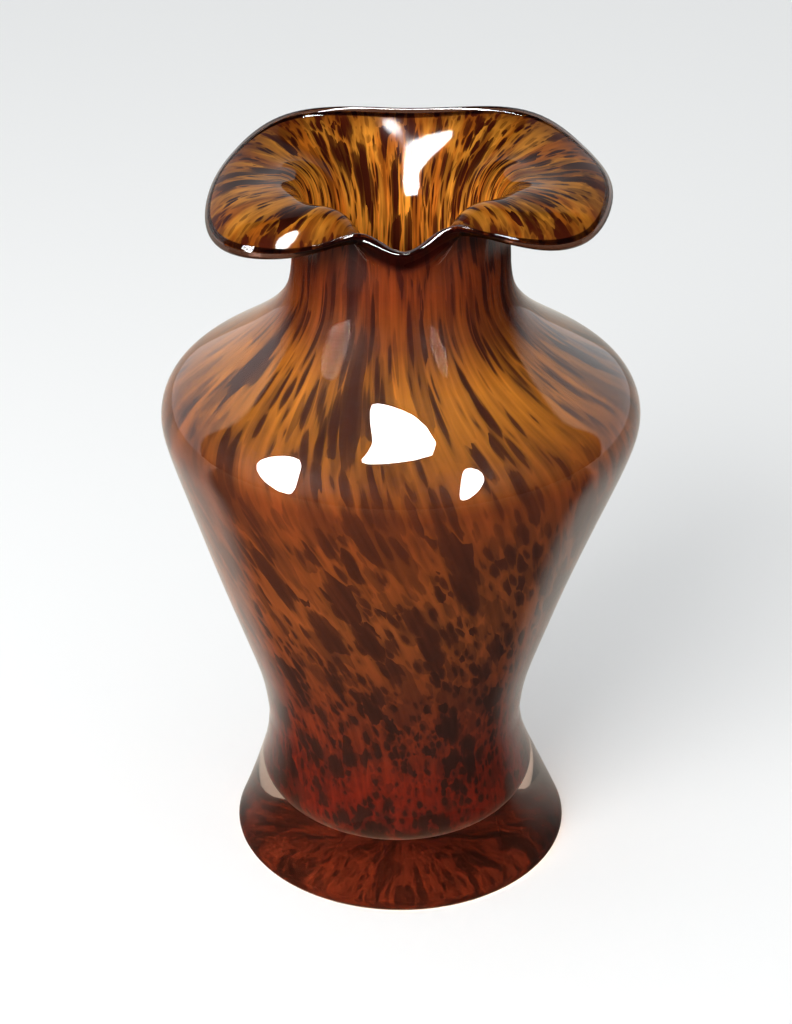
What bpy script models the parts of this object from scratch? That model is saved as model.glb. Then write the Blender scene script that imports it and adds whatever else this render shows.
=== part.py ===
"""Hand-blown cased glass vase: heavy clear foot, tortoiseshell body, ruffled and pinched mouth.

The origin is the centre of the base on the table, +Z is up and the spout of the mouth faces -Y.
The wall is three nested gathers of glass. Each one follows the same meridian curve, which is the
same all the way round up to the neck and then changes with azimuth to form the ruffled rim.
"""

import bpy
import numpy as np

# Driving dimensions, in metres.
BASE_RADIUS = 0.068
BASE_CHAMFER = 0.0014
GROUND_RING_INNER = 0.040
PUNT_RISE = 0.0030
FOOT_HEIGHT = 0.054
WAIST_RADIUS = 0.0512
SHOULDER_RADIUS = 0.0910
SHOULDER_HEIGHT = 0.1900
NECK_RADIUS = 0.0405
NECK_HEIGHT = 0.2490
BUBBLE_FLOOR = 0.0135

# The body was not quite true on the blowpipe: between the foot and the shoulder its axis
# leans towards -X by this much, easing in and out between the heights below.
SWAY = 0.0026
SWAY_IN = (0.0, 0.060)
SWAY_OUT = (0.110, 0.200)

# Wall build-up, from the outside in, at the belly. The lip is drawn thinner.
CASING_THICKNESS = 0.0018
COLOUR_THICKNESS = 0.0010
LINING_THICKNESS = 0.0014
LAYER_GAP = 0.0003
LIP_THINNING = 0.80
LIP_BULGE = 0.35

# Mesh density.
SEGMENTS = 42
WALL_ROWS = 15
RIM_ROWS = 10
DOME_ROWS = 6
FOOT_ROWS = 8

# Rows crowd into the bends: one radian of turning counts as this much extra length.
TURN_LENGTH = 0.050

# Outer wall above the foot, as (radius, height) stations up the meridian.
WALL = (
    (WAIST_RADIUS, FOOT_HEIGHT),
    (0.0533, 0.0700),
    (0.0590, 0.0900),
    (0.0710, 0.1260),
    (0.0830, 0.1610),
    (0.0893, 0.1800),
    (SHOULDER_RADIUS, SHOULDER_HEIGHT),
    (0.0875, 0.2000),
    (0.0770, 0.2085),
    (0.0630, 0.2175),
    (0.0500, 0.2280),
    (0.0425, 0.2385),
    (NECK_RADIUS, NECK_HEIGHT),
)

# Outer wall of the foot, waist first, down to the chamfer of the base.
FOOT_WALL = (
    (WAIST_RADIUS, FOOT_HEIGHT),
    (0.0530, 0.0410),
    (0.0573, 0.0280),
    (0.0628, 0.0140),
    (BASE_RADIUS, BASE_CHAMFER),
)

# Rounded bottom of the colour bubble inside the foot, centre first.
BUBBLE_WAIST_RADIUS = WAIST_RADIUS - CASING_THICKNESS - LAYER_GAP
DOME = (
    (0.0, BUBBLE_FLOOR),
    (0.0280, 0.0142),
    (0.0400, 0.0165),
    (0.0455, 0.0220),
    (0.0475, 0.0310),
    (0.0484, 0.0420),
    (BUBBLE_WAIST_RADIUS, FOOT_HEIGHT),
)

# Lip stations: azimuth in degrees, reach, height, leaving direction in degrees, and the height
# at which the wall has turned outwards.
LIP = (
    (0.0, 0.0740, 0.2712, -50.0, 0.2755),
    (25.0, 0.0750, 0.2772, -25.0, 0.2750),
    (45.0, 0.0718, 0.2850, 15.0, 0.2715),
    (63.0, 0.0620, 0.2870, 42.0, 0.2675),
    (90.0, 0.0550, 0.2870, 52.0, 0.2650),
    (118.0, 0.0615, 0.2870, 42.0, 0.2675),
    (136.0, 0.0660, 0.2845, 15.0, 0.2715),
    (156.0, 0.0672, 0.2772, -25.0, 0.2750),
    (180.0, 0.0674, 0.2715, -50.0, 0.2760),
    (203.0, 0.0690, 0.2666, -70.0, 0.2770),
    (220.0, 0.0640, 0.2670, -78.0, 0.2770),
    (235.0, 0.0510, 0.2692, -72.0, 0.2765),
    (251.0, 0.0430, 0.2712, 25.0, 0.2675),
    (271.5, 0.0397, 0.2662, 90.0, 0.2590),
    (291.0, 0.0407, 0.2715, 25.0, 0.2660),
    (308.0, 0.0465, 0.2725, -68.0, 0.2765),
    (326.0, 0.0590, 0.2668, -78.0, 0.2775),
    (343.0, 0.0685, 0.2655, -70.0, 0.2768),
)

# The wall turns outwards over this share of its reach beyond the neck. The flare after the turn
# is nearly level where the lip droops, and rises with the leaving direction elsewhere.
TURN_SHARE = 0.22
LEVEL_TILT = -2.0
DROOPING_LIP = -40.0
TILT_GAIN = 0.66

# How strongly each stretch of the rim holds its end directions, as a share of its chord.
RIM_PULL = 1.15


def clear_scene():
    for obj in list(bpy.data.objects):
        bpy.data.objects.remove(obj, do_unlink=True)


def natural_slopes(knots, values):
    """Slopes at the knots of the natural cubic through the values."""
    count = len(knots)
    steps = np.diff(knots)
    rises = np.diff(values, axis=0) / steps[:, None]
    matrix = np.zeros((count, count))
    rhs = np.zeros((count, values.shape[1]))
    matrix[0, :2] = (2.0, 1.0)
    rhs[0] = 3.0 * rises[0]
    matrix[-1, -2:] = (1.0, 2.0)
    rhs[-1] = 3.0 * rises[-1]
    for i in range(1, count - 1):
        before, after = steps[i - 1], steps[i]
        matrix[i, i - 1 : i + 2] = (after, 2.0 * (before + after), before)
        rhs[i] = 3.0 * (after * rises[i - 1] + before * rises[i])
    return np.linalg.solve(matrix, rhs)


def hermite(start, end, slope_start, slope_end, share):
    """Cubic from start to end; the slopes are for the whole step."""
    s = share[:, None]
    return (
        start * (2 * s**3 - 3 * s**2 + 1)
        + slope_start * (s**3 - 2 * s**2 + s)
        + end * (3 * s**2 - 2 * s**3)
        + slope_end * (s**3 - s**2)
    )


def progress(dense):
    """Distance along a dense path, counting its turns as extra length."""
    steps = np.diff(dense, axis=0)
    lengths = np.linalg.norm(steps, axis=1)
    heading = np.unwrap(np.arctan2(steps[:, 1], steps[:, 0]))
    turns = np.concatenate([[0.0], np.abs(np.diff(heading))])
    return np.concatenate([[0.0], np.cumsum(lengths + TURN_LENGTH * turns)])


def smooth_path(stations, rows):
    """Points on the natural cubic through the stations, rows + 1 of them, closer in the bends."""
    points = np.array(stations)
    chords = np.linalg.norm(np.diff(points, axis=0), axis=1)
    knots = np.concatenate([[0.0], np.cumsum(chords)])
    slopes = natural_slopes(knots, points)
    pieces = []
    for i, step in enumerate(np.diff(knots)):
        share = np.arange(24) / 24
        pieces.append(hermite(points[i], points[i + 1], slopes[i] * step, slopes[i + 1] * step, share))
    dense = np.vstack([*pieces, points[-1:]])
    reached = progress(dense)
    wanted = np.linspace(0.0, reached[-1], rows + 1)
    return np.stack([np.interp(wanted, reached, dense[:, k]) for k in range(2)], axis=1)


def lip_at(azimuth):
    """Reach, height, leaving direction and turn height of the lip at an azimuth in degrees."""
    stations = np.array(LIP)
    full_turn = (360.0, 0, 0, 0, 0)
    wrapped = np.vstack([stations[-2:] - full_turn, stations, stations[:3] + full_turn])
    knots = wrapped[:, 0]
    slopes = natural_slopes(knots, wrapped[:, 1:])
    i = int(np.searchsorted(knots, azimuth, side="right")) - 1
    step = knots[i + 1] - knots[i]
    share = np.array([(azimuth - knots[i]) / step])
    values = hermite(wrapped[i, 1:], wrapped[i + 1, 1:], slopes[i] * step, slopes[i + 1] * step, share)
    return values[0]


def direction(degrees):
    """Unit direction in the meridian plane, from level and outwards."""
    angle = np.radians(degrees)
    return np.array([np.cos(angle), np.sin(angle)])


def stretch_of_rim(start, end, leaving_start, leaving_end, rows):
    """Curve between two points that leaves them in the given directions."""
    pull = RIM_PULL * np.linalg.norm(end - start)
    share = np.linspace(0.0, 1.0, rows + 1)
    return hermite(start, end, pull * direction(leaving_start), pull * direction(leaving_end), share)


def rim_path(azimuth):
    """Meridian of the flared rim: up the throat, over the turn and out to the lip."""
    reach, height, leaving, turn_height = lip_at(azimuth)
    neck = np.array([NECK_RADIUS, NECK_HEIGHT])
    turn = np.array([NECK_RADIUS + TURN_SHARE * (reach - NECK_RADIUS), turn_height])
    lip = np.array([reach, height])
    tilt = LEVEL_TILT + TILT_GAIN * max(0.0, leaving - DROOPING_LIP)
    throat_rows = RIM_ROWS // 2
    throat = stretch_of_rim(neck, turn, 90.0, tilt, throat_rows)
    flare = stretch_of_rim(turn, lip, tilt, leaving, RIM_ROWS - throat_rows)
    return np.vstack([throat[:-1], flare])


def outward(path):
    """Unit normals of a meridian that runs upwards, pointing to the outside of the glass."""
    tangent = np.gradient(path, axis=0)
    tangent /= np.linalg.norm(tangent, axis=1)[:, None]
    return np.stack([tangent[:, 1], -tangent[:, 0]], axis=1)


def outer_meridian(azimuth):
    """The outside of the vase from the waist up to the lip."""
    wall = smooth_path(WALL, WALL_ROWS)
    return np.vstack([wall, rim_path(azimuth)[1:]])


def thinning(rows):
    """Share of the full thickness left at each row: one up to the neck, less towards the lip."""
    fade = np.clip((np.arange(rows) - (rows - 1 - RIM_ROWS)) / RIM_ROWS, 0.0, 1.0)
    return 1.0 - (1.0 - LIP_THINNING) * fade


def bubble_meridian(azimuth):
    """The outside of the colour bubble, from its closed bottom to the lip."""
    wall = outer_meridian(azimuth)
    depth = CASING_THICKNESS * thinning(len(wall)) + LAYER_GAP
    inside = wall - outward(wall) * depth[:, None]
    dome = smooth_path(DOME, DOME_ROWS)
    return np.vstack([dome[:-1], inside])


def layer_section(path, depth_out, depth_in):
    """Open section of one layer: up its outside, round its lip and down its inside."""
    normal = outward(path)
    fade = thinning(len(path))
    outside = path - normal * (depth_out * fade)[:, None]
    inside = path - normal * (depth_in * fade)[:, None]
    along = np.array([-normal[-1][1], normal[-1][0]])
    bulge = LIP_BULGE * (depth_in - depth_out) * LIP_THINNING
    crown = 0.5 * (outside[-1] + inside[-1]) + along * bulge
    return outside, crown, inside


def closed_layer_section(azimuth, depth_out, depth_in):
    """Section of a layer that closes at the bottom of the bubble."""
    outside, crown, inside = layer_section(bubble_meridian(azimuth), depth_out, depth_in)
    outside[0, 0] = 0.0
    inside[0, 0] = 0.0
    return np.vstack([outside, crown, inside[::-1]])


def casing_section(azimuth):
    """Section of the clear casing, which stops just above the foot."""
    outside, crown, inside = layer_section(outer_meridian(azimuth), 0.0, CASING_THICKNESS)
    outside[0, 1] = FOOT_HEIGHT + LAYER_GAP
    inside[0, 1] = FOOT_HEIGHT + LAYER_GAP
    return np.vstack([outside, crown, inside[::-1]])


def ease(value, limits):
    """Smooth step from zero to one between two limits."""
    share = min(max((value - limits[0]) / (limits[1] - limits[0]), 0.0), 1.0)
    return share * share * (3.0 - 2.0 * share)


def axis_offset(height):
    """Where the body's axis lies along X at a height."""
    return -SWAY * ease(height, SWAY_IN) * (1.0 - ease(height, SWAY_OUT))


def ring_points(sections):
    """World points of every section, one section per azimuth."""
    points = []
    for k, section in enumerate(sections):
        angle = 2.0 * np.pi * k / SEGMENTS
        for radius, height in section:
            x = axis_offset(height) + radius * np.cos(angle)
            points.append((x, radius * np.sin(angle), height))
    return points


def split_quad(near_start, far_start, far_end, near_end, rising):
    """Two triangles. The same diagonal is used on both sides of a wall, so layers stay nested."""
    if rising:
        return [(near_start, far_start, far_end), (near_start, far_end, near_end)]
    return [(near_start, far_start, near_end), (far_start, far_end, near_end)]


def loft_tube(sections):
    """Loft whose section is a closed loop, as for the casing."""
    rows = len(sections[0])
    crown = rows // 2
    faces = []
    for k in range(SEGMENTS):
        near = k * rows
        far = ((k + 1) % SEGMENTS) * rows
        for i in range(rows):
            j = (i + 1) % rows
            faces += split_quad(near + i, far + i, far + j, near + j, i < crown)
    return ring_points(sections), faces


def loft_bag(sections, crown):
    """Loft whose section starts and ends on the axis; its wall rises up to the crown row."""
    inner = len(sections[0]) - 2
    points = ring_points([section[1:-1] for section in sections])
    bottom = len(points)
    points.append((axis_offset(sections[0][0][1]), 0.0, sections[0][0][1]))
    top = len(points)
    points.append((axis_offset(sections[0][-1][1]), 0.0, sections[0][-1][1]))
    faces = []
    for k in range(SEGMENTS):
        near = k * inner
        far = ((k + 1) % SEGMENTS) * inner
        faces.append((bottom, far, near))
        for i in range(inner - 1):
            faces += split_quad(near + i, far + i, far + i + 1, near + i + 1, i + 1 < crown)
        faces.append((near + inner - 1, far + inner - 1, top))
    return points, faces


def make_material(name, colour, alpha, roughness):
    material = bpy.data.materials.new(name)
    material.use_nodes = True
    shader = material.node_tree.nodes["Principled BSDF"]
    shader.inputs["Base Color"].default_value = (*colour, 1.0)
    shader.inputs["Alpha"].default_value = alpha
    shader.inputs["Roughness"].default_value = roughness
    shader.inputs["IOR"].default_value = 1.5
    material.diffuse_color = (*colour, alpha)
    return material


def add_piece(collection, name, points, faces, material):
    mesh = bpy.data.meshes.new(name)
    mesh.from_pydata([tuple(map(float, p)) for p in points], [], faces)
    mesh.materials.append(material)
    mesh.update()
    mesh.shade_smooth()
    obj = bpy.data.objects.new(name, mesh)
    collection.objects.link(obj)
    return obj


def foot_section():
    """Half section of the foot: in under the base to the outside wall, up it, and down the cup."""
    cup = smooth_path(DOME, DOME_ROWS)
    cup = cup + outward(cup) * LAYER_GAP
    cup[0, 0] = 0.0
    cup[-1, 1] = FOOT_HEIGHT
    wall = smooth_path(FOOT_WALL, FOOT_ROWS)[::-1]
    punt = [(0.0, PUNT_RISE), (0.5 * GROUND_RING_INNER, 0.75 * PUNT_RISE)]
    ring = [(GROUND_RING_INNER, 0.0), (BASE_RADIUS - BASE_CHAMFER, 0.0)]
    return np.vstack([punt, ring, wall, cup[::-1]]), len(punt) + len(ring) + len(wall) - 1


def build():
    clear_scene()
    collection = bpy.data.collections.new("hand_blown_vase")
    bpy.context.scene.collection.children.link(collection)
    azimuths = [360.0 * k / SEGMENTS for k in range(SEGMENTS)]

    clear = make_material("clear_glass", (0.86, 0.72, 0.58), 0.35, 0.03)
    brown = make_material("brown_glass", (0.30, 0.08, 0.03), 0.80, 0.03)
    mottled = make_material("tortoiseshell_glass", (0.42, 0.14, 0.02), 1.0, 0.06)
    amber = make_material("amber_glass", (0.85, 0.42, 0.05), 1.0, 0.05)

    points, faces = loft_tube([casing_section(a) for a in azimuths])
    add_piece(collection, "clear_casing", points, faces, clear)

    crown = DOME_ROWS + WALL_ROWS + RIM_ROWS + 1
    sections = [closed_layer_section(a, 0.0, COLOUR_THICKNESS) for a in azimuths]
    points, faces = loft_bag(sections, crown)
    add_piece(collection, "tortoiseshell_layer", points, faces, mottled)

    lining_out = COLOUR_THICKNESS + LAYER_GAP / LIP_THINNING
    lining_in = lining_out + LINING_THICKNESS
    sections = [closed_layer_section(a, lining_out, lining_in) for a in azimuths]
    points, faces = loft_bag(sections, crown)
    add_piece(collection, "amber_lining", points, faces, amber)

    section, waist_row = foot_section()
    points, faces = loft_bag([section] * SEGMENTS, waist_row)
    add_piece(collection, "foot", points, faces, brown)


build()
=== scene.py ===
"""Looks for the hand-blown vase: cased glass, tortoiseshell colour, studio light and the camera.

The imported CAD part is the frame. Three finer pieces stand for its four nodes: a clear gather for
the casing and the foot, the tortoiseshell bubble inside it, and the amber lining of the bubble.
"""

import bpy
import numpy as np
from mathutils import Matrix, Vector


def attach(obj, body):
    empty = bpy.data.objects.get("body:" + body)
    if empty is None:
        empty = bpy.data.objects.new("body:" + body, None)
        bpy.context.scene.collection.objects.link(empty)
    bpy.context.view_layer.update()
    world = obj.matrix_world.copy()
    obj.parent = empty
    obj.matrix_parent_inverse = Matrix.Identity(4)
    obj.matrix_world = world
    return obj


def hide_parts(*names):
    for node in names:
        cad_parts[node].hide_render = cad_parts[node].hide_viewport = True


# ---------------------------------------------------------------- shape, in metres, as in the CAD
BASE_RADIUS = 0.068
BASE_CHAMFER = 0.0014
GROUND_RING_INNER = 0.040
PUNT_RISE = 0.0030
FOOT_HEIGHT = 0.054
WAIST_RADIUS = 0.0512
SHOULDER_RADIUS = 0.0910
SHOULDER_HEIGHT = 0.1900
NECK_RADIUS = 0.0405
NECK_HEIGHT = 0.2490
BUBBLE_FLOOR = 0.0135
SWAY = 0.0026
SWAY_IN = (0.0, 0.060)
SWAY_OUT = (0.110, 0.200)

# Wall build-up from the outside in. The colour starts where the casing ends.
CASING_DEPTH = 0.0021
COLOUR_DEPTH = 0.0033
LINING_DEPTH = 0.0048
FUSED_OVERLAP = 0.0005
LIP_THINNING = 0.80

# The colour stops this many rows short of the lip, which is a clear fire-polished bead.
BEAD_ROWS = 1

# Fineness of the meshes: segments round the axis, and rows along each part of a section.
SEGMENTS = 144
WALL_ROWS = 60
RIM_ROWS = 34
DOME_ROWS = 18
FOOT_ROWS = 22
PUNT_ROWS = 8
ARRIS_ROWS = 5
CROWN_ROWS = 6

# A path is laid out in this many steps between two stations. Its rows then close up in the bends,
# where a turn of one radian counts as this much extra length.
STEPS_PER_STRETCH = 24
TURN_LENGTH = 0.050

# How far a rounded edge stands out, as a share of its half thickness.
CROWN_REACH = 0.55

WALL = (
    (WAIST_RADIUS, FOOT_HEIGHT),
    (0.0533, 0.0700),
    (0.0590, 0.0900),
    (0.0710, 0.1260),
    (0.0830, 0.1610),
    (0.0893, 0.1800),
    (SHOULDER_RADIUS, SHOULDER_HEIGHT),
    (0.0875, 0.2000),
    (0.0770, 0.2085),
    (0.0630, 0.2175),
    (0.0500, 0.2280),
    (0.0425, 0.2385),
    (NECK_RADIUS, NECK_HEIGHT),
)
FOOT_WALL = (
    (BASE_RADIUS, BASE_CHAMFER),
    (0.0628, 0.0140),
    (0.0573, 0.0280),
    (0.0530, 0.0410),
    (WAIST_RADIUS, FOOT_HEIGHT),
)
DOME = (
    (0.0, BUBBLE_FLOOR),
    (0.0280, 0.0142),
    (0.0400, 0.0165),
    (0.0455, 0.0220),
    (0.0475, 0.0310),
    (0.0484, 0.0420),
    (WAIST_RADIUS - CASING_DEPTH, FOOT_HEIGHT),
)

# Lip stations: azimuth in degrees, reach, height, leaving direction in degrees, and the height
# at which the wall has turned outwards.
LIP = (
    (0.0, 0.0740, 0.2712, -50.0, 0.2755),
    (25.0, 0.0750, 0.2772, -25.0, 0.2750),
    (45.0, 0.0718, 0.2850, 15.0, 0.2715),
    (63.0, 0.0620, 0.2870, 42.0, 0.2675),
    (90.0, 0.0550, 0.2870, 52.0, 0.2650),
    (118.0, 0.0615, 0.2870, 42.0, 0.2675),
    (136.0, 0.0660, 0.2845, 15.0, 0.2715),
    (156.0, 0.0672, 0.2772, -25.0, 0.2750),
    (180.0, 0.0674, 0.2715, -50.0, 0.2760),
    (203.0, 0.0690, 0.2666, -70.0, 0.2770),
    (220.0, 0.0640, 0.2670, -78.0, 0.2770),
    (235.0, 0.0510, 0.2692, -72.0, 0.2765),
    (251.0, 0.0430, 0.2712, 25.0, 0.2675),
    (271.5, 0.0397, 0.2662, 90.0, 0.2590),
    (291.0, 0.0407, 0.2715, 25.0, 0.2660),
    (308.0, 0.0465, 0.2725, -68.0, 0.2765),
    (326.0, 0.0590, 0.2668, -78.0, 0.2775),
    (343.0, 0.0685, 0.2655, -70.0, 0.2768),
)

# The wall turns outwards over this share of its reach beyond the neck. The flare after the turn
# is nearly level where the lip droops, and rises with the leaving direction elsewhere.
TURN_SHARE = 0.22
LEVEL_TILT = -2.0
DROOPING_LIP = -40.0
TILT_GAIN = 0.66

# How strongly each stretch of the rim holds its end directions, as a share of its chord.
RIM_PULL = 1.15

# ---------------------------------------------------------------- how the colour was stretched
# One chip size, and the radius at which the colour keeps its width round the axis.
CHIP = 0.0062
FLOW_RADIUS = 0.078

# How much the glass was stretched, by height up to the neck and then from the neck to the lip.
STRETCH = (
    (0.010, 1.0),
    (0.055, 1.2),
    (0.090, 1.7),
    (0.130, 2.2),
    (0.165, 3.0),
    (0.190, 4.0),
    (0.215, 5.5),
    (0.249, 7.0),
)
RIM_STRETCH = (5.0, 1.5)

# How much it was twisted, in radians per metre, by height.
TWIST = (
    (0.010, 0.0),
    (0.060, 2.0),
    (0.090, 4.2),
    (0.140, 5.6),
    (0.185, 4.6),
    (0.215, 2.5),
    (0.249, 0.0),
)

# Chips of two sizes: the scale of their cells, then the smallest and the largest radius. A cell
# with a radius below zero holds no chip of its own. The bend is the scale and reach of its noise.
LARGE_CHIPS = (0.62, -0.22, 0.66)
SMALL_CHIPS = (1.50, -0.06, 0.62)
CHIP_BEND = (1.1, 0.75)

# Noise that gathers the chips in patches, and noise that frays their ends along the flow.
PATCH_SCALE = 0.30
PATCH_WEIGHT = 1.00
FRAY_GRAIN = (3.0, 3.0, 0.6)
FRAY_WEIGHT = 0.40

# Fainter chips under the dark ones, and finer chips in the mouth.
VEIL_SHIFT = (7.3, 2.1, 5.7)
VEIL_EDGE = (0.44, 0.53)
VEIL_STRENGTH = 0.50
MOUTH_FINENESS = 1.5

# Light and dark streaks along the flow, and broader patches of two tones in the mouth.
STREAK_GRAIN = (2.2, 2.2, 0.35)
STREAK_RANGE = (0.30, 0.70)
STREAK_LIGHT = (0.78, 1.22)
TONE_GRAIN = (0.9, 0.9, 0.45)
TONE_RANGE = (0.38, 0.62)

# Where the colour darkens, partly thicker and darker glass and partly painted shade and painted
# dark reflection: towards the lip, and where the rim has rolled over and heads down.
LIP_SHADE = 0.60
LIP_SHADE_REACH = (0.002, 0.012)
ROLL_SHADE = 0.72
ROLL_SHADE_DIP = (0.50, 0.90)
# Reach of the painted shade in the clear bead of the lip.
BEAD_PAINTED_SHADE_REACH = (0.0035, 0.0070)

# ---------------------------------------------------------------- surfaces
GLASS_IOR = 1.5
CLEAR_ROUGHNESS = 0.01
OUTSIDE_ROUGHNESS = 0.35
INSIDE_ROUGHNESS = 0.06
COLOUR_GLOSS = 0.05

# Faint waves in the clear gather's surface.
WAVE_SCALE = 35.0
WAVE_STRENGTH = 0.06
WAVE_DISTANCE = 0.002

# The hollow between shoulder and neck mirrors almost nothing at the front and the back, so that
# the windows do not show there a second time.
HOLLOW_START = (0.2190, 0.2215)
HOLLOW_END = (0.256, 0.266)
HOLLOW_SIDE = (0.038, 0.048)
HOLLOW_MATT = 0.98

# Air between the ground ring and the floor, so the base mirrors the colour above it.
FLOOR_GAP = 0.0002
FLOOR_REACH = 6.0
FLOOR_ROUGHNESS = 0.6
FLOOR_GLOSS = 0.2

# ---------------------------------------------------------------- colours, linear
# Tint of the clear gather: brown at the foot, nearly colourless above it, and painted shade in the
# lip bead for the dark reflections in its edge.
FOOT_TINT = (0.90, 0.78, 0.66)
CASING_TINT = (0.97, 0.93, 0.87)
FOOT_TINT_RISE = (0.010, 0.070)
BEAD_PAINTED_SHADE = (0.10, 0.03, 0.012)

# Absorption of the clear gather per metre: the casing stays pale, the foot goes brown.
DEPTH_COLOUR = (0.60, 0.35, 0.20)
GLASS_DENSITY = 12.0

# Share of ground colour from the heart of a chip (0.36), over its edge (0.50), to clear ground.
CHIP_EDGE = ((0.36, 0.00), (0.47, 0.12), (0.50, 0.52), (0.57, 0.76), (0.80, 1.00))

# Colours up the outside of the vase; the places are shares of this height. The bright ground on
# the shoulder is partly the thinner colour where the glass was blown wide and partly painted light
# from above.
RAMP_HEIGHT = 0.290
HEART_BY_HEIGHT = (
    (0.056, (0.032, 0.008, 0.004)),
    (0.070, (0.012, 0.004, 0.003)),
    (0.30, (0.022, 0.006, 0.003)),
    (0.66, (0.040, 0.009, 0.003)),
    (0.82, (0.022, 0.003, 0.002)),
)
GROUND_AND_SHOULDER_LIGHT_BY_HEIGHT = (
    (0.056, (0.155, 0.028, 0.011)),
    (0.070, (0.060, 0.006, 0.003)),
    (0.10, (0.088, 0.006, 0.002)),
    (0.17, (0.098, 0.009, 0.003)),
    (0.29, (0.105, 0.018, 0.005)),
    (0.45, (0.165, 0.042, 0.009)),
    (0.57, (0.140, 0.032, 0.006)),
    (0.65, (0.115, 0.024, 0.005)),
    (0.69, (0.170, 0.049, 0.006)),
    (0.73, (0.340, 0.120, 0.011)),
    (0.755, (0.360, 0.126, 0.012)),
    (0.80, (0.150, 0.036, 0.005)),
    (0.86, (0.115, 0.020, 0.004)),
)
MOUTH_HEART = (0.050, 0.008, 0.003)
MOUTH_GROUND_DEEP = (0.620, 0.160, 0.013)
MOUTH_GROUND_LIGHT = (0.930, 0.345, 0.034)
# Painted shade: the dark colour that the lip and the rolled rim are mixed towards.
SHADED_COLOUR = (0.045, 0.006, 0.002)

# Added to the distance from the chips, so a lower value leaves less clear ground. The belt under
# the shoulder and the shoulder above it are reached over these heights.
OUTSIDE_COVERAGE = -0.03
BELT_COVERAGE = -0.12
BELT_RISE = (0.150, 0.172)
SHOULDER_COVERAGE = 0.04
SHOULDER_RISE = (0.180, 0.195)
MOUTH_COVERAGE = -0.02

# Painted light and shade: how bright the colour is where it faces a little down, and where it
# faces up, against the strong light from above.
FACING_RANGE = (-0.3, 0.9)
OUTSIDE_PAINTED_LIGHT = (0.96, 0.44)
MOUTH_PAINTED_LIGHT = (1.65, 0.36)

# The floor and the room, as seen directly and as mirrored in the glass.
FLOOR_COLOUR = (0.88, 0.88, 0.87)
FLOOR_MIRRORED_FRONT = (0.05, 0.045, 0.04)
FLOOR_MIRRORED_BESIDE = (0.72, 0.66, 0.58)
FLOOR_BESIDE = (-0.02, 0.06)
WORLD_COLOUR = (0.93, 0.95, 0.97)
WORLD_STRENGTH = 0.84
ROOM_COLOUR = (0.05, 0.045, 0.045)
WALL_COLOUR = (1.2, 1.2, 1.2)
WALL_START = (0.20, 0.25)
WALL_LEAN = 0.3

# ---------------------------------------------------------------- lights
LIGHT_DISTANCE = 1.5
KEY_PLACE = (-34.0, 34.0)
KEY_SIZE = (0.9, 0.9)
KEY_POWER = 19.0

# Windows: name, bearing and elevation in degrees, size, radiance, and turn in degrees.
OUTER_WINDOWS = (
    ("ceiling_window", 0.0, 86.5, (0.60, 0.22), 40.0, 19.0),
    ("left_window", -63.0, 32.0, (0.50, 1.80), 40.0, 23.0),
    ("right_window", 36.0, 38.0, (0.24, 1.70), 40.0, -18.0),
)
MOUTH_WINDOW = ("front_window", -12.5, 31.0, (0.40, 1.50), 240.0, 3.0)

# ---------------------------------------------------------------- camera
CAMERA_PLACE = (-0.0019, -0.7554, 0.5561)
CAMERA_DIP = 28.67
CAMERA_LENS = 77.3
CAMERA_SENSOR = 36.0


def natural_slopes(knots, values):
    """Slopes at the knots of the natural cubic through the values."""
    count = len(knots)
    steps = np.diff(knots)
    rises = np.diff(values, axis=0) / steps[:, None]
    matrix = np.zeros((count, count))
    rhs = np.zeros((count, values.shape[1]))
    matrix[0, :2] = (2.0, 1.0)
    rhs[0] = 3.0 * rises[0]
    matrix[-1, -2:] = (1.0, 2.0)
    rhs[-1] = 3.0 * rises[-1]
    for i in range(1, count - 1):
        before, after = steps[i - 1], steps[i]
        matrix[i, i - 1 : i + 2] = (after, 2.0 * (before + after), before)
        rhs[i] = 3.0 * (after * rises[i - 1] + before * rises[i])
    return np.linalg.solve(matrix, rhs)


def hermite(start, end, slope_start, slope_end, share):
    """Cubic from start to end; the slopes are for the whole step."""
    s = share[:, None]
    return (
        start * (2 * s**3 - 3 * s**2 + 1)
        + slope_start * (s**3 - 2 * s**2 + s)
        + end * (3 * s**2 - 2 * s**3)
        + slope_end * (s**3 - s**2)
    )


def progress(dense):
    """Distance along a dense path, counting its turns as extra length."""
    steps = np.diff(dense, axis=0)
    lengths = np.linalg.norm(steps, axis=1)
    heading = np.unwrap(np.arctan2(steps[:, 1], steps[:, 0]))
    turns = np.concatenate([[0.0], np.abs(np.diff(heading))])
    return np.concatenate([[0.0], np.cumsum(lengths + TURN_LENGTH * turns)])


def smooth_path(stations, rows):
    """Points on the natural cubic through the stations, rows + 1 of them, closer in the bends."""
    points = np.array(stations)
    chords = np.linalg.norm(np.diff(points, axis=0), axis=1)
    knots = np.concatenate([[0.0], np.cumsum(chords)])
    slopes = natural_slopes(knots, points)
    share = np.arange(STEPS_PER_STRETCH) / STEPS_PER_STRETCH
    pieces = []
    for i, step in enumerate(np.diff(knots)):
        leaving, arriving = slopes[i] * step, slopes[i + 1] * step
        pieces.append(hermite(points[i], points[i + 1], leaving, arriving, share))
    dense = np.vstack([*pieces, points[-1:]])
    reached = progress(dense)
    wanted = np.linspace(0.0, reached[-1], rows + 1)
    return np.stack([np.interp(wanted, reached, dense[:, k]) for k in range(2)], axis=1)


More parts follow.
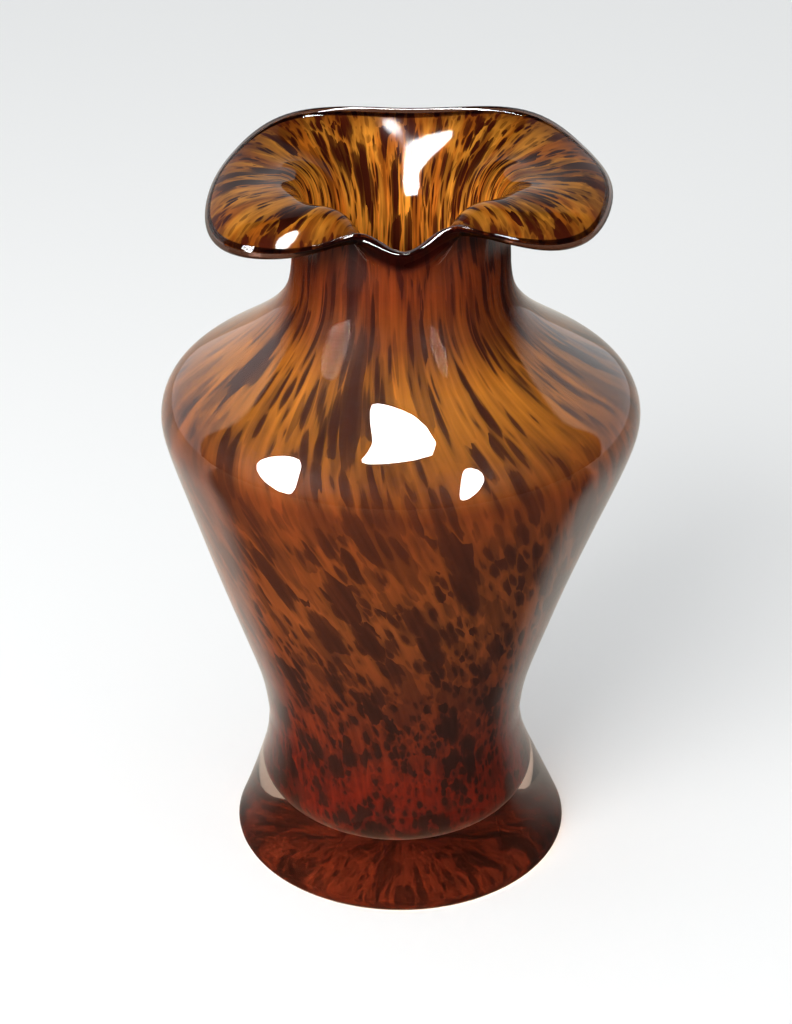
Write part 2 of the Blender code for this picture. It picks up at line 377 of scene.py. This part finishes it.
def lip_at(azimuth):
    """Reach, height, leaving direction and turn height of the lip at an azimuth in degrees."""
    stations = np.array(LIP)
    full_turn = (360.0, 0, 0, 0, 0)
    wrapped = np.vstack([stations[-2:] - full_turn, stations, stations[:3] + full_turn])
    knots = wrapped[:, 0]
    slopes = natural_slopes(knots, wrapped[:, 1:])
    i = int(np.searchsorted(knots, azimuth, side="right")) - 1
    step = knots[i + 1] - knots[i]
    share = np.array([(azimuth - knots[i]) / step])
    before, after = wrapped[i, 1:], wrapped[i + 1, 1:]
    return hermite(before, after, slopes[i] * step, slopes[i + 1] * step, share)[0]


def direction(degrees):
    """Unit direction in the meridian plane, from level and outwards."""
    angle = np.radians(degrees)
    return np.array([np.cos(angle), np.sin(angle)])


def stretch_of_rim(start, end, leaving, arriving, rows):
    """Curve between two points, with its directions in degrees at the two ends."""
    pull = RIM_PULL * np.linalg.norm(end - start)
    share = np.linspace(0.0, 1.0, rows + 1)
    return hermite(start, end, pull * direction(leaving), pull * direction(arriving), share)


def rim_path(azimuth):
    """Meridian of the flared rim: up the throat, over the turn and out to the lip."""
    reach, height, leaving, turn_height = lip_at(azimuth)
    neck = np.array([NECK_RADIUS, NECK_HEIGHT])
    turn = np.array([NECK_RADIUS + TURN_SHARE * (reach - NECK_RADIUS), turn_height])
    lip = np.array([reach, height])
    tilt = LEVEL_TILT + TILT_GAIN * max(0.0, leaving - DROOPING_LIP)
    throat_rows = RIM_ROWS // 2
    throat = stretch_of_rim(neck, turn, 90.0, tilt, throat_rows)
    flare = stretch_of_rim(turn, lip, tilt, leaving, RIM_ROWS - throat_rows)
    return np.vstack([throat[:-1], flare])


def outward(path):
    """Unit normals of a meridian that runs upwards, pointing to the outside of the glass."""
    tangent = np.gradient(path, axis=0)
    tangent /= np.linalg.norm(tangent, axis=1)[:, None]
    return np.stack([tangent[:, 1], -tangent[:, 0]], axis=1)


def thinning(rows):
    """Share of the full thickness left at each row: one up to the neck, less towards the lip."""
    fade = np.clip((np.arange(rows) - (rows - 1 - RIM_ROWS)) / RIM_ROWS, 0.0, 1.0)
    return 1.0 - (1.0 - LIP_THINNING) * fade


WALL_PATH = smooth_path(WALL, WALL_ROWS)
DOME_PATH = smooth_path(DOME, DOME_ROWS)
FOOT_PATH = smooth_path(FOOT_WALL, FOOT_ROWS)


def outer_meridian(azimuth):
    """The outside of the vase from the waist up to the lip."""
    return np.vstack([WALL_PATH, rim_path(azimuth)[1:]])


def at_depth(azimuth, depth):
    """The curve this deep in the wall, from the centre of the bubble's floor to the lip."""
    wall = outer_meridian(azimuth)
    fade = thinning(len(wall))
    inside = wall - outward(wall) * (depth * fade)[:, None]
    dome = DOME_PATH - outward(DOME_PATH) * (depth - CASING_DEPTH)
    dome[0, 0] = 0.0
    return np.vstack([dome[:-1], inside])


def crown(outside, inside):
    """Rounded edge that joins the end of one curve to the end of another."""
    middle = 0.5 * (outside[-1] + inside[-1])
    half = outside[-1] - middle
    ahead = CROWN_REACH * np.array([-half[1], half[0]])
    angles = np.pi * np.arange(1, CROWN_ROWS) / CROWN_ROWS
    return np.array([middle + half * np.cos(a) + ahead * np.sin(a) for a in angles])


def layer_section(azimuth, depth_out, depth_in):
    """Section of a colour layer, which ends inside the clear bead of the lip."""
    outside = at_depth(azimuth, depth_out)[:-BEAD_ROWS]
    inside = at_depth(azimuth, depth_in)[:-BEAD_ROWS]
    return np.vstack([outside, crown(outside, inside), inside[::-1]])


def base_path():
    """Underside of the foot: punt, ground ring and the rounded arris up to the outside wall."""
    radii = np.linspace(0.0, GROUND_RING_INNER, PUNT_ROWS + 1)
    punt = [(r, PUNT_RISE * (1.0 - (r / GROUND_RING_INNER) ** 2)) for r in radii]
    angles = np.linspace(-0.5 * np.pi, 0.0, ARRIS_ROWS + 1)
    across, up = BASE_RADIUS - BASE_CHAMFER, BASE_CHAMFER
    arris = [(across + BASE_CHAMFER * np.cos(a), up + BASE_CHAMFER * np.sin(a)) for a in angles]
    return np.array(punt + arris[:-1])


def gather_section(azimuth):
    """Section of the clear gather: up the outside, round the lip bead, down inside the colour."""
    outside = np.vstack([base_path(), FOOT_PATH[:-1], outer_meridian(azimuth)])
    lining = at_depth(azimuth, LINING_DEPTH)
    hidden = at_depth(azimuth, CASING_DEPTH + FUSED_OVERLAP)
    bead = lining[-BEAD_ROWS - 2 :][::-1]
    return np.vstack([outside, crown(outside, lining), bead, hidden[: -BEAD_ROWS - 2][::-1]])


def ease(value, limits):
    """Smooth step from zero to one between two limits."""
    share = np.clip((value - limits[0]) / (limits[1] - limits[0]), 0.0, 1.0)
    return share * share * (3.0 - 2.0 * share)


def axis_offset(height):
    """Where the body's axis lies along X at a height."""
    return -SWAY * ease(height, SWAY_IN) * (1.0 - ease(height, SWAY_OUT))


def flow_rows(azimuth):
    """Unstretched distance and swirl at each row of a curve made by at_depth."""
    path = at_depth(azimuth, CASING_DEPTH)
    lengths = np.concatenate([[0.0], np.linalg.norm(np.diff(path, axis=0), axis=1)])
    heights = path[:, 1].copy()
    heights[-RIM_ROWS:] = NECK_HEIGHT
    stretch = np.interp(heights, *zip(*STRETCH))
    stretch[-RIM_ROWS:] = np.linspace(*RIM_STRETCH, RIM_ROWS)
    twist = np.interp(heights, *zip(*TWIST))
    return np.cumsum(lengths / stretch), np.cumsum(lengths * twist)


def lip_closeness(section, lip, reach):
    """One at the lip and zero farther from it than the reach."""
    return 1.0 - ease(np.linalg.norm(section - lip, axis=1), reach)


def layer_shade(azimuth, section):
    """How much painted shade darkens the colour at each point of a layer's section."""
    path = at_depth(azimuth, CASING_DEPTH)[:-BEAD_ROWS]
    heading = np.gradient(path, axis=0)
    dip = -heading[:, 1] / np.linalg.norm(heading, axis=1)
    rolled = ease(dip, ROLL_SHADE_DIP)
    rolled[:-RIM_ROWS] = 0.0
    rolled = np.concatenate([rolled, np.full(CROWN_ROWS - 1, rolled[-1]), rolled[::-1]])
    closeness = lip_closeness(section, path[-1], LIP_SHADE_REACH)
    return np.maximum(ROLL_SHADE * rolled, LIP_SHADE * closeness)


def layer_flow(azimuth):
    """Flow distance and swirl at each point of a section made by layer_section."""
    found = []
    for rows in flow_rows(azimuth):
        kept = rows[:-BEAD_ROWS]
        found.append(np.concatenate([kept, np.full(CROWN_ROWS - 1, kept[-1]), kept[::-1]]))
    return found


def lofted_points(sections):
    """Points of the sections turned about the axis, then the two poles."""
    points = []
    for k, section in enumerate(sections):
        angle = 2.0 * np.pi * k / SEGMENTS
        for radius, height in section[1:-1]:
            x = axis_offset(height) + radius * np.cos(angle)
            points.append((x, radius * np.sin(angle), height))
    poles = (sections[0][0][1], sections[0][-1][1])
    return points + [(axis_offset(height), 0.0, height) for height in poles]


def lofted_faces(rows):
    """Faces between neighbouring sections of this many rows, closed at the two poles."""
    bottom, top = SEGMENTS * rows, SEGMENTS * rows + 1
    faces = []
    for k in range(SEGMENTS):
        near, far = k * rows, ((k + 1) % SEGMENTS) * rows
        faces.append((bottom, far, near))
        for i in range(rows - 1):
            faces.append((near + i, far + i, far + i + 1, near + i + 1))
        faces.append((near + rows - 1, far + rows - 1, top))
    return faces


def flow_vectors(flows):
    """Where each point lay before the glass was stretched, in chip sizes."""
    ring = FLOW_RADIUS / CHIP
    vectors = []
    for k, (distance, swirl) in enumerate(flows):
        angle = 2.0 * np.pi * k / SEGMENTS + swirl[1:-1]
        along = distance[1:-1] / CHIP
        vectors.append(np.stack([ring * np.cos(angle), ring * np.sin(angle), along], axis=1))
    return np.vstack([*vectors, np.zeros((2, 3))])


def store(mesh, name, kind, field, values):
    """Keeps one value for each point of the mesh, for its material to read."""
    layer = mesh.attributes.new(name, kind, "POINT")
    layer.data.foreach_set(field, np.array(values, dtype=np.float32).ravel())


def loft(name, sections, shades, flows=None):
    """Closed piece through sections that start and end on the axis, with its shade and flow."""
    mesh = bpy.data.meshes.new(name)
    points = [tuple(map(float, point)) for point in lofted_points(sections)]
    mesh.from_pydata(points, [], lofted_faces(len(sections[0]) - 2))
    store(mesh, "shade", "FLOAT", "value", np.concatenate([*[s[1:-1] for s in shades], np.zeros(2)]))
    if flows:
        store(mesh, "flow", "FLOAT_VECTOR", "vector", flow_vectors(flows))
    mesh.update()
    mesh.shade_smooth()
    return add_object(name, mesh)


def add_object(name, data):
    made = bpy.data.objects.new(name, data)
    bpy.context.scene.collection.objects.link(made)
    return made


def rgba(rgb):
    return (*rgb, 1.0)


class Graph:
    """Short calls for building the nodes of a material or a world."""

    def __init__(self, owner):
        owner.use_nodes = True
        self.tree = owner.node_tree
        self.tree.nodes.clear()

    def node(self, kind, **settings):
        made = self.tree.nodes.new(kind)
        for key, value in settings.items():
            setattr(made, key, value)
        return made

    def put(self, socket, value):
        if isinstance(value, bpy.types.NodeSocket):
            self.tree.links.new(value, socket)
        else:
            socket.default_value = value

    def filled(self, kind, inputs):
        """A node with the named inputs set."""
        made = self.node(kind)
        for name, value in inputs.items():
            self.put(made.inputs[name], value)
        return made

    def math(self, operation, first, second=0.0):
        made = self.node("ShaderNodeMath", operation=operation)
        self.put(made.inputs[0], first)
        self.put(made.inputs[1], second)
        return made.outputs[0]

    def vector_math(self, operation, *values):
        made = self.node("ShaderNodeVectorMath", operation=operation)
        for socket, value in zip(made.inputs, values):
            self.put(socket, value)
        return made.outputs[0]

    def scaled(self, vector, factor):
        made = self.node("ShaderNodeVectorMath", operation="SCALE")
        self.put(made.inputs[0], vector)
        self.put(made.inputs["Scale"], factor)
        return made.outputs[0]

    def axes(self, vector):
        """The X, Y and Z outputs of a vector."""
        made = self.node("ShaderNodeSeparateXYZ")
        self.put(made.inputs[0], vector)
        return made.outputs

    def geometry(self, output):
        return self.node("ShaderNodeNewGeometry").outputs[output]

    def attribute(self, name, output):
        return self.node("ShaderNodeAttribute", attribute_name=name).outputs[output]

    def noise(self, vector, scale, detail=2.0, roughness=0.5, output="Fac"):
        inputs = {"Vector": vector, "Scale": scale, "Detail": detail, "Roughness": roughness}
        return self.filled("ShaderNodeTexNoise", inputs).outputs[output]

    def bend(self, vector, scale, reach):
        """The vector, pushed about by noise."""
        push = self.noise(vector, scale, output="Color")
        centred = self.vector_math("SUBTRACT", push, (0.5, 0.5, 0.5))
        return self.vector_math("MULTIPLY_ADD", centred, (reach, reach, reach), vector)

    def remap(self, value, low, high, to_low=0.0, to_high=1.0, smooth=True):
        made = self.node("ShaderNodeMapRange")
        made.interpolation_type = "SMOOTHSTEP" if smooth else "LINEAR"
        for socket, entry in zip(made.inputs, (value, low, high, to_low, to_high)):
            self.put(socket, entry)
        return made.outputs[0]

    def mix(self, share, first, second):
        """Mix of two colours, by the colour sockets of a node that also mixes numbers and vectors."""
        made = self.node("ShaderNodeMix", data_type="RGBA")
        self.put(made.inputs[0], share)
        self.put(made.inputs[6], first)
        self.put(made.inputs[7], second)
        return made.outputs[2]

    def blend(self, share, first, second):
        """Mix of two shader nodes."""
        made = self.node("ShaderNodeMixShader")
        self.put(made.inputs[0], share)
        self.put(made.inputs[1], first.outputs[0])
        self.put(made.inputs[2], second.outputs[0])
        return made

    def ramp(self, value, stops):
        """Colour at a value; each stop is a place and a colour."""
        made = self.node("ShaderNodeValToRGB")
        self.put(made.inputs[0], value)
        elements = made.color_ramp.elements
        while len(elements) < len(stops):
            elements.new(0.5)
        for element, (place, rgb) in zip(elements, stops):
            element.position = place
            element.color = rgba(rgb)
        return made.outputs[0]


def mirrored(g):
    """One for a ray that a glossy surface has reflected, and zero for every other ray."""
    path = g.node("ShaderNodeLightPath").outputs
    return g.math("MULTIPLY", path["Is Glossy Ray"], path["Is Reflection Ray"])


def hollow(g):
    """One in the hollow under the rim, at the front and the back, and zero elsewhere."""
    place = g.axes(g.geometry("Position"))
    band = g.math("SUBTRACT", g.remap(place["Z"], *HOLLOW_START), g.remap(place["Z"], *HOLLOW_END))
    across = g.math("ABSOLUTE", place["X"])
    return g.math("MULTIPLY", band, g.remap(across, *HOLLOW_SIDE, 1.0, 0.0))


def chip_layer(g, flow, scale, smallest, largest):
    """Melted chips of one size. Negative inside a chip, positive between the chips."""
    cells = g.filled("ShaderNodeTexVoronoi", {"Vector": flow, "Scale": scale})
    chance = g.node("ShaderNodeSeparateColor")
    g.put(chance.inputs[0], cells.outputs["Color"])
    radius = g.remap(chance.outputs[0], 0.0, 1.0, smallest, largest, smooth=False)
    return g.math("SUBTRACT", cells.outputs["Distance"], radius)


def chips(g, flow, coverage):
    """Low in a dark chip, high in clear ground, with the edge near one half."""
    bent = g.bend(flow, *CHIP_BEND)
    patch = g.noise(flow, PATCH_SCALE, detail=1.0)
    fray = g.noise(g.vector_math("MULTIPLY", flow, FRAY_GRAIN), 1.0, detail=3.0, roughness=0.6)
    total = g.math("MINIMUM", chip_layer(g, bent, *LARGE_CHIPS), chip_layer(g, bent, *SMALL_CHIPS))
    total = g.math("ADD", total, coverage)
    for layer, weight in ((patch, PATCH_WEIGHT), (fray, FRAY_WEIGHT)):
        total = g.math("ADD", total, g.math("MULTIPLY", g.math("SUBTRACT", layer, 0.5), weight))
    return g.math("ADD", g.math("MULTIPLY", total, 0.5), 0.5)


def melted(g, flow, coverage, heart, ground):
    """Chips of the heart colour in the ground colour, over fainter chips deeper in the glass."""
    deeper = g.vector_math("ADD", flow, VEIL_SHIFT)
    veil = g.remap(chips(g, deeper, coverage), *VEIL_EDGE, VEIL_STRENGTH, 0.0)
    edge = [(place, (share, share, share)) for place, share in CHIP_EDGE]
    return g.mix(g.ramp(chips(g, flow, coverage), edge), heart, g.mix(veil, ground, heart))


def outside_colour(g, flow):
    """Red and spotted near the foot, bright amber on the shoulder with some painted light, dark amber
    on the neck.
    """
    height = g.axes(g.geometry("Position"))["Z"]
    share = g.math("DIVIDE", height, RAMP_HEIGHT)
    belt = g.remap(height, *BELT_RISE, OUTSIDE_COVERAGE, BELT_COVERAGE)
    coverage = g.remap(height, *SHOULDER_RISE, belt, SHOULDER_COVERAGE)
    heart = g.ramp(share, HEART_BY_HEIGHT)
    return melted(g, flow, coverage, heart, g.ramp(share, GROUND_AND_SHOULDER_LIGHT_BY_HEIGHT))


def inside_colour(g, flow):
    """Brighter amber of two tones, with finer chips."""
    finer = g.vector_math("MULTIPLY", flow, (MOUTH_FINENESS, MOUTH_FINENESS, MOUTH_FINENESS))
    tone = g.remap(g.noise(g.vector_math("MULTIPLY", flow, TONE_GRAIN), 1.0), *TONE_RANGE)
    ground = g.mix(tone, rgba(MOUTH_GROUND_DEEP), rgba(MOUTH_GROUND_LIGHT))
    return melted(g, finer, MOUTH_COVERAGE, rgba(MOUTH_HEART), ground)


def tortoiseshell(g, seen, flow, painted_light):
    """The mottled colour, with painted light that is less where it faces up, varied along the flow,
    and painted shade at the lip and on the rolled rim.
    """
    facing = g.axes(g.geometry("Normal"))["Z"]
    streaks = g.noise(g.vector_math("MULTIPLY", flow, STREAK_GRAIN), 1.0)
    light = g.remap(streaks, *STREAK_RANGE, *STREAK_LIGHT, smooth=False)
    # Painted light and shade by how much the colour faces up.
    light = g.math("MULTIPLY", light, g.remap(facing, *FACING_RANGE, *painted_light, smooth=False))
    # Painted shade at the lip and on the rolled rim, read from the shade attribute.
    return g.mix(g.attribute("shade", "Fac"), g.scaled(seen, light), rgba(SHADED_COLOUR))


def colour_material(name, colour_of, painted_light, roughness):
    """Mottled glass under the clear glass or under its own polish."""
    material = bpy.data.materials.new(name)
    g = Graph(material)
    flow = g.attribute("flow", "Vector")
    inputs = {
        "Base Color": tortoiseshell(g, colour_of(g, flow), flow, painted_light),
        "Roughness": roughness,
        "IOR": GLASS_IOR,
        "Specular IOR Level": COLOUR_GLOSS,
    }
    shader = g.filled("ShaderNodeBsdfPrincipled", inputs)
    g.filled("ShaderNodeOutputMaterial", {"Surface": shader.outputs[0]})
    return material


def clear_tint(g):
    """Brown at the foot, nearly colourless above it, with painted shade in the bead of the lip."""
    rise = g.remap(g.axes(g.geometry("Position"))["Z"], *FOOT_TINT_RISE)
    tint = g.mix(rise, rgba(FOOT_TINT), rgba(CASING_TINT))
    # Painted shade in the lip bead, for the dark reflections in its edge.
    return g.mix(g.attribute("shade", "Fac"), tint, rgba(BEAD_PAINTED_SHADE))


def wavy_normal(g):
    """Faint waves left by the blowing."""
    wave = g.noise(g.geometry("Position"), WAVE_SCALE, detail=1.0)
    inputs = {"Strength": WAVE_STRENGTH, "Distance": WAVE_DISTANCE, "Height": wave}
    return g.filled("ShaderNodeBump", inputs).outputs[0]


def clear_material():
    """Clear glass that goes brown where it is thick. Its shadows let light through."""
    material = bpy.data.materials.new("brown_tinted_glass")
    g = Graph(material)
    tint = clear_tint(g)
    normal = wavy_normal(g)
    surface = {"IOR": GLASS_IOR, "Roughness": CLEAR_ROUGHNESS, "Normal": normal}
    polished = {**surface, "Base Color": tint, "Transmission Weight": 1.0}
    glass = g.filled("ShaderNodeBsdfPrincipled", polished)
    unlit = g.filled("ShaderNodeBsdfRefraction", {**surface, "Color": tint})
    passing = g.filled("ShaderNodeBsdfTransparent", {"Color": tint})
    seen = g.blend(g.math("MULTIPLY", hollow(g), HOLLOW_MATT), glass, unlit)
    chosen = g.blend(g.node("ShaderNodeLightPath").outputs["Is Shadow Ray"], seen, passing)
    absorbing = {"Color": rgba(DEPTH_COLOUR), "Density": GLASS_DENSITY}
    depth = g.filled("ShaderNodeVolumeAbsorption", absorbing)
    ends = {"Surface": chosen.outputs[0], "Volume": depth.outputs[0]}
    g.filled("ShaderNodeOutputMaterial", ends)
    return material


def layer_piece(name, azimuths, depth_out, depth_in, material):
    """One coloured layer of the bubble, with its flow and shade."""
    sections = [layer_section(a, depth_out, depth_in) for a in azimuths]
    shades = [layer_shade(a, section) for a, section in zip(azimuths, sections)]
    piece = loft(name, sections, shades, [layer_flow(a) for a in azimuths])
    piece.data.materials.append(material)
    return piece


def gather_piece(azimuths):
    """The clear gather: foot, casing and lip bead."""
    sections = [gather_section(a) for a in azimuths]
    lips = [outer_meridian(a)[-1] for a in azimuths]
    shades = [lip_closeness(s, lip, BEAD_PAINTED_SHADE_REACH) for s, lip in zip(sections, lips)]
    piece = loft("clear_gather", sections, shades)
    piece.data.materials.append(clear_material())
    return piece


def add_vase():
    """The three visible pieces. Gives the gather and the lining, which the windows light."""
    azimuths = [360.0 * k / SEGMENTS for k in range(SEGMENTS)]
    gather = gather_piece(azimuths)
    outside = colour_material(
        "tortoiseshell_glass_outside", outside_colour, OUTSIDE_PAINTED_LIGHT, OUTSIDE_ROUGHNESS
    )
    inside = colour_material(
        "tortoiseshell_glass_inside", inside_colour, MOUTH_PAINTED_LIGHT, INSIDE_ROUGHNESS
    )
    bubble = layer_piece("tortoiseshell_bubble", azimuths, CASING_DEPTH, COLOUR_DEPTH, outside)
    lining = layer_piece("amber_lining_inside", azimuths, COLOUR_DEPTH, LINING_DEPTH, inside)
    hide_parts("clear_casing", "foot")
    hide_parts("tortoiseshell_layer")
    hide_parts("amber_lining")
    for piece in (gather, bubble, lining):
        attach(piece, "root")
    return gather, lining


def floor_material():
    """Pale floor. Reflections see it dark in front of the vase and pale beside and behind it."""
    material = bpy.data.materials.new("pale_floor")
    g = Graph(material)
    behind = g.remap(g.axes(g.geometry("Position"))["Y"], *FLOOR_BESIDE)
    shown = g.mix(behind, rgba(FLOOR_MIRRORED_FRONT), rgba(FLOOR_MIRRORED_BESIDE))
    inputs = {
        "Base Color": g.mix(mirrored(g), rgba(FLOOR_COLOUR), shown),
        "Roughness": FLOOR_ROUGHNESS,
        "Specular IOR Level": FLOOR_GLOSS,
    }
    shader = g.filled("ShaderNodeBsdfPrincipled", inputs)
    g.filled("ShaderNodeOutputMaterial", {"Surface": shader.outputs[0]})
    return material


def add_floor():
    mesh = bpy.data.meshes.new("floor")
    signs = ((-1, -1), (1, -1), (1, 1), (-1, 1))
    corners = [(FLOOR_REACH * i, FLOOR_REACH * j, -FLOOR_GAP) for i, j in signs]
    mesh.from_pydata(corners, [], [(0, 1, 2, 3)])
    mesh.materials.append(floor_material())
    add_object("floor", mesh)


def add_light(name, bearing, elevation, size, power):
    """Panel that faces the shoulder from a bearing (from -Y towards +X) and an elevation."""
    lamp = bpy.data.lights.new(name, "AREA")
    lamp.shape = "RECTANGLE"
    lamp.size, lamp.size_y = size
    lamp.energy = power
    light = add_object(name, lamp)
    around, tilt = np.radians(bearing), np.radians(elevation)
    level = np.cos(tilt)
    way = Vector((np.sin(around) * level, -np.cos(around) * level, np.sin(tilt)))
    light.location = Vector((0.0, 0.0, SHOULDER_HEIGHT)) + LIGHT_DISTANCE * way
    light.rotation_euler = (-way).to_track_quat("-Z", "Y").to_euler()
    light.visible_camera = False
    return light


def add_window(name, bearing, elevation, size, radiance, turn, receivers):
    """Bright window that only shows as a highlight on the receiving pieces."""
    light = add_light(name, bearing, elevation, size, radiance * np.pi * size[0] * size[1])
    light.data.shape = "ELLIPSE"
    light.rotation_euler.rotate_axis("Z", np.radians(turn))
    light.visible_diffuse = False
    light.light_linking.receiver_collection = receivers


def receivers_of(name, piece):
    group = bpy.data.collections.new(name)
    group.objects.link(piece)
    return group


def add_lights(gather, lining):
    key = add_light("key_panel", *KEY_PLACE, KEY_SIZE, KEY_POWER)
    key.visible_glossy = False
    outer = receivers_of("outer_surface", gather)
    for window in OUTER_WINDOWS:
        add_window(*window, outer)
    add_window(*MOUTH_WINDOW, receivers_of("mouth_surface", lining))


def add_world():
    """Even pale light. Reflections see a darker room in front of the vase and pale walls behind."""
    world = bpy.data.worlds.new("studio")
    bpy.context.scene.world = world
    g = Graph(world)
    way = g.axes(g.node("ShaderNodeTexCoord").outputs["Generated"])
    behind = g.math("SUBTRACT", way["Y"], g.math("MULTIPLY", way["Z"], WALL_LEAN))
    room = g.mix(g.remap(behind, *WALL_START), rgba(ROOM_COLOUR), rgba(WALL_COLOUR))
    seen = g.mix(mirrored(g), rgba(WORLD_COLOUR), room)
    back = g.filled("ShaderNodeBackground", {"Color": seen, "Strength": WORLD_STRENGTH})
    g.filled("ShaderNodeOutputWorld", {"Surface": back.outputs[0]})


def add_camera():
    """The photograph's viewing angle."""
    camera = bpy.data.cameras.new("photo_camera")
    camera.lens = CAMERA_LENS
    camera.sensor_width = CAMERA_SENSOR
    obj = add_object("photo_camera", camera)
    obj.location = CAMERA_PLACE
    obj.rotation_euler = (np.radians(90.0 - CAMERA_DIP), 0.0, 0.0)
    bpy.context.scene.camera = obj
    bpy.context.scene.view_settings.view_transform = "Standard"


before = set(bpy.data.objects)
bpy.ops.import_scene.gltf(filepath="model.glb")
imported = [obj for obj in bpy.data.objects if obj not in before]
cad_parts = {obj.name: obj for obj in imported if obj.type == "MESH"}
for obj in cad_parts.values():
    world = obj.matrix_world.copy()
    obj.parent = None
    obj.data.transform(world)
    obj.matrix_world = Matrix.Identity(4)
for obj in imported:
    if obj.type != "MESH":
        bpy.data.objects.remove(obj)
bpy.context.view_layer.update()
gather, lining = add_vase()
add_floor()
add_lights(gather, lining)
add_world()
add_camera()
